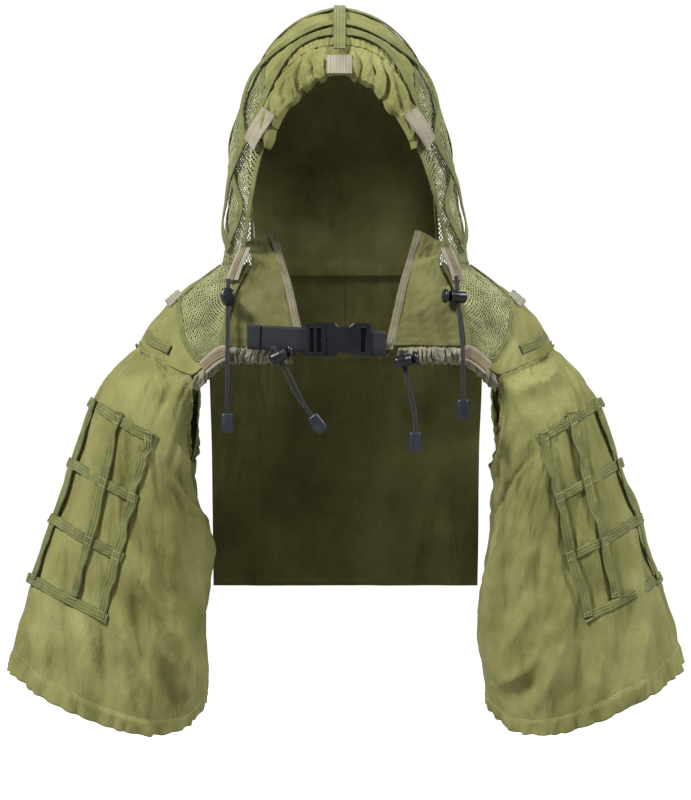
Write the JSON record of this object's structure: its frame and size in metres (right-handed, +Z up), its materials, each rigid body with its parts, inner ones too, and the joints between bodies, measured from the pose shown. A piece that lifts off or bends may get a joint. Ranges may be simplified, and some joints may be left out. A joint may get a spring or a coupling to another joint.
{
  "type": "ghillie suit",
  "caption": "Olive ghillie hood and shoulder cape with wide sleeves, net hood sides, webbing grids, a chest buckle and drawcords with cord locks.",
  "frame": {"origin": "centre of the wearer's neck base, midway between the shoulders", "axes": "+Z up the standing wearer, -Y out of the chest, +X to the wearer's left"},
  "size_m": [0.7116, 0.2863, 0.7563],
  "materials": {
    "cotton": "olive cotton twill, dull",
    "net": "olive knitted net",
    "tape": "olive ribbed webbing tape",
    "tan_webbing": "tan ribbed webbing",
    "brown_webbing": "brown ribbed webbing",
    "grey_casing": "grey-tan gathered casing",
    "binding": "grey-tan binding tape",
    "black_webbing": "black ribbed webbing",
    "black_plastic": "moulded black acetal",
    "cord": "dark braided elastic cord",
    "cord_end": "moulded slate plastic"
  },
  "bodies": {
    "root": {"hood_brim": "cotton", "hood_crown": "cotton", "hood_back": "cotton", "yoke_left": "cotton", "yoke_right": "cotton", "neck_flap_left": "cotton", "neck_flap_right": "cotton", "back_panel": "cotton", "sleeve_left": "cotton", "sleeve_right": "cotton", "hood_mesh_left": "net", "hood_mesh_right": "net", "shoulder_mesh_left": "net", "shoulder_mesh_right": "net", "hood_strap_front": "tape", "hood_strap_middle": "tape", "hood_strap_rear": "tape", "hood_strap_centre": "tape", "back_grid": "tape", "sleeve_grid_left": "tape", "sleeve_grid_right": "tape", "shoulder_strip_left": "tape", "shoulder_strip_right": "tape", "brim_tab_centre": "tan_webbing", "brim_tab_left": "tan_webbing", "brim_tab_right": "tan_webbing", "tip_tab_left": "tan_webbing", "tip_tab_right": "tan_webbing", "shoulder_loop_left": "tan_webbing", "shoulder_loop_right": "tan_webbing", "chest_tab_left": "brown_webbing", "chest_tab_right": "brown_webbing", "chest_casing_left": "grey_casing", "chest_casing_right": "grey_casing", "neck_tape_left": "binding", "neck_tape_right": "binding", "chest_strap_left": "black_webbing", "chest_strap_right": "black_webbing", "buckle_female": "black_plastic"},
    "cord_hood_left": {"cord_hood_left": "cord", "cord_end_hood_left": "cord_end"},
    "lock_hood_left": {"lock_hood_left": "black_plastic"},
    "plunger_hood_left": {"plunger_hood_left": "black_plastic"},
    "cord_hood_right": {"cord_hood_right": "cord", "cord_end_hood_right": "cord_end"},
    "lock_hood_right": {"lock_hood_right": "black_plastic"},
    "plunger_hood_right": {"plunger_hood_right": "black_plastic"},
    "cord_chest_left": {"cord_chest_left": "cord", "cord_end_chest_left": "cord_end"},
    "lock_chest_left": {"lock_chest_left": "black_plastic"},
    "plunger_chest_left": {"plunger_chest_left": "black_plastic"},
    "cord_chest_right": {"cord_chest_right": "cord", "cord_end_chest_right": "cord_end"},
    "lock_chest_right": {"lock_chest_right": "black_plastic"},
    "plunger_chest_right": {"plunger_chest_right": "black_plastic"},
    "buckle_male": {"buckle_male": "black_plastic"},
    "prong_upper": {"prong_upper": "black_plastic"},
    "prong_lower": {"prong_lower": "black_plastic"}
  },
  "joints": [
    {"name": "swing_hood_left", "type": "hinge", "parent": "root", "child": "cord_hood_left", "pos_m": [0.1125, -0.0922, 0.023], "axis": [-1, 0, 0], "range_deg": [0, 50]},
    {"name": "slide_lock_hood_left", "type": "slide", "parent": "cord_hood_left", "child": "lock_hood_left", "axis": [0.0717, -0.3203, -0.9446], "range_m": [0, 0.028]},
    {"name": "press_hood_left", "type": "slide", "parent": "lock_hood_left", "child": "plunger_hood_left", "axis": [0.9401, 0.338, -0.0432], "range_m": [0, 0.003], "stiffness_N_per_m": 400, "springref_m": -0.001},
    {"name": "swing_hood_right", "type": "hinge", "parent": "root", "child": "cord_hood_right", "pos_m": [-0.119, -0.09614, 0.02], "axis": [-1, 0, 0], "range_deg": [0, 50]},
    {"name": "slide_lock_hood_right", "type": "slide", "parent": "cord_hood_right", "child": "lock_hood_right", "axis": [0, -0.3114, -0.9503], "range_m": [0, 0.028]},
    {"name": "press_hood_right", "type": "slide", "parent": "lock_hood_right", "child": "plunger_hood_right", "axis": [0, 0.9503, -0.3114], "range_m": [0, 0.003], "stiffness_N_per_m": 400, "springref_m": -0.001},
    {"name": "swing_chest_left", "type": "hinge", "parent": "root", "child": "cord_chest_left", "pos_m": [0.0555, -0.13154, -0.053], "axis": [-1, 0, 0], "range_deg": [0, 50]},
    {"name": "slide_lock_chest_left", "type": "slide", "parent": "cord_chest_left", "child": "lock_chest_left", "axis": [0.2149, 0, -0.9766], "range_m": [0, 0.022]},
    {"name": "press_chest_left", "type": "slide", "parent": "lock_chest_left", "child": "plunger_chest_left", "axis": [-0.9766, 0, -0.2149], "range_m": [0, 0.003], "stiffness_N_per_m": 400, "springref_m": -0.001},
    {"name": "swing_chest_right", "type": "hinge", "parent": "root", "child": "cord_chest_right", "pos_m": [-0.0725, -0.1232, -0.0605], "axis": [-1, 0, 0], "range_deg": [0, 12]},
    {"name": "slide_lock_chest_right", "type": "slide", "parent": "cord_chest_right", "child": "lock_chest_right", "axis": [0.4512, 0, -0.8924], "range_m": [0, 0.016]},
    {"name": "press_chest_right", "type": "slide", "parent": "lock_chest_right", "child": "plunger_chest_right", "axis": [-0.8924, 0, -0.4512], "range_m": [0, 0.003], "stiffness_N_per_m": 400, "springref_m": -0.001},
    {"name": "buckle_release", "type": "slide", "parent": "root", "child": "buckle_male", "axis": [-1, 0, 0], "range_m": [0, 0.024], "deforming": ["chest_strap_right"]},
    {"name": "squeeze_prong_upper", "type": "hinge", "parent": "buckle_male", "child": "prong_upper", "pos_m": [-0.0181, -0.127, -0.0358], "axis": [0, 1, 0], "range_deg": [0, 8], "stiffness_Nm_per_rad": 0.05},
    {"name": "squeeze_prong_lower", "type": "hinge", "parent": "buckle_male", "child": "prong_lower", "pos_m": [-0.0181, -0.127, -0.0492], "axis": [0, 1, 0], "range_deg": [-8, 0], "stiffness_Nm_per_rad": 0.05}
  ]
}
